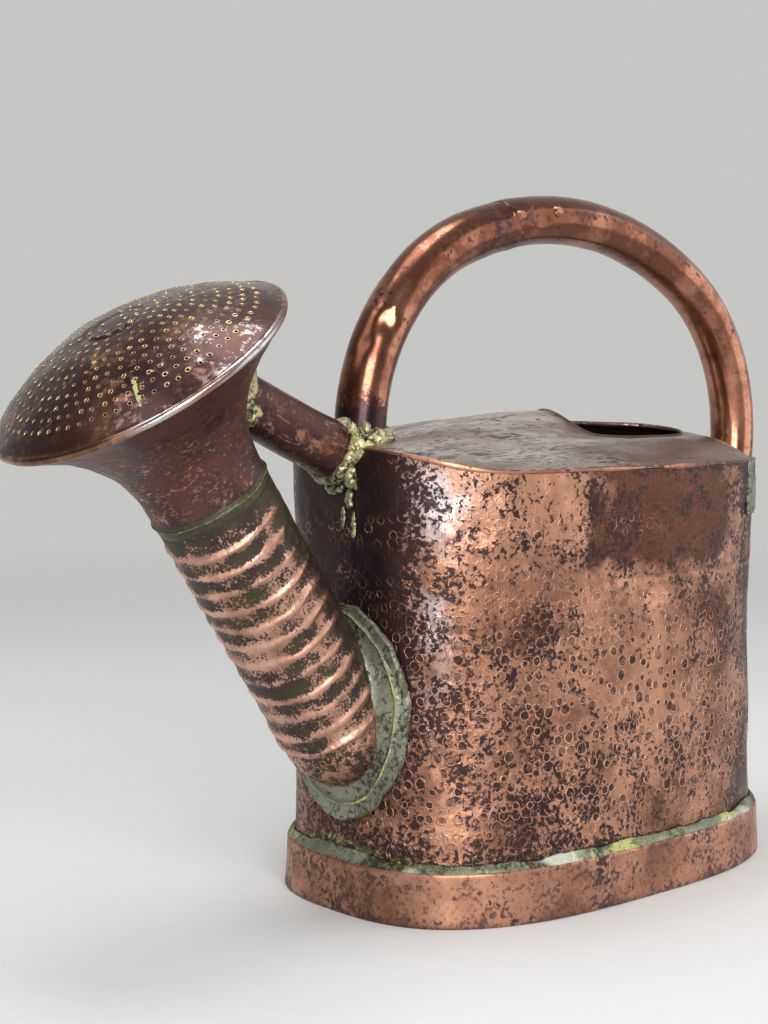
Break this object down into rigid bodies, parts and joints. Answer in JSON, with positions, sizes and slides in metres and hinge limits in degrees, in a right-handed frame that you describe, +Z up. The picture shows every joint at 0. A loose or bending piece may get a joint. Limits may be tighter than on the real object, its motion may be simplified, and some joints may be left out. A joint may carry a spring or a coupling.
{
  "type": "copper watering can",
  "caption": "Old hammered copper watering can with an oval body, a hooped tube handle, a ribbed spout and a broad perforated rose.",
  "frame": {"origin": "on the ground under the middle of the oval body, in the foot ring's sole plane", "axes": "+Z up, -X towards the spout and rose, +X towards the handle's rear limb, Y across the body"},
  "size_m": [0.534, 0.189, 0.3862],
  "materials": {
    "wall_copper": "hammered copper, dark oxide patches",
    "dark_copper": "dull oxidised copper",
    "foot_copper": "smooth worn copper, brown stains",
    "solder": "grey-green solder with verdigris",
    "plate_copper": "streaky grey-brown oxidised copper",
    "grey_solder": "dull grey tinned patch",
    "handle_copper": "polished worn copper",
    "rivet_copper": "polished copper",
    "spout_copper": "hammered copper, bright ridges and dark grooves",
    "flange_copper": "tinned and stained grey-green",
    "neck_copper": "dark brown copper, scratched",
    "rose_copper": "dark purple-brown copper with bright wear",
    "brace_copper": "dark copper with worn streaks"
  },
  "bodies": {
    "root": {"body_wall": "wall_copper", "bottom_plate": "dark_copper", "foot_ring": "foot_copper", "foot_solder": "solder", "top_plate": "plate_copper", "wall_patch": "grey_solder", "handle_front_tube": "handle_copper", "handle_rear_tube": "handle_copper", "handle_rivets": "rivet_copper", "handle_front_solder": "solder", "handle_rear_solder": "solder", "spout_tube": "spout_copper", "spout_flange": "flange_copper", "spout_flange_solder": "solder", "rose_neck": "neck_copper", "rose_face": "rose_copper", "neck_solder": "solder", "brace_tube": "brace_copper", "brace_neck_solder": "solder"}
  },
  "joints": []
}
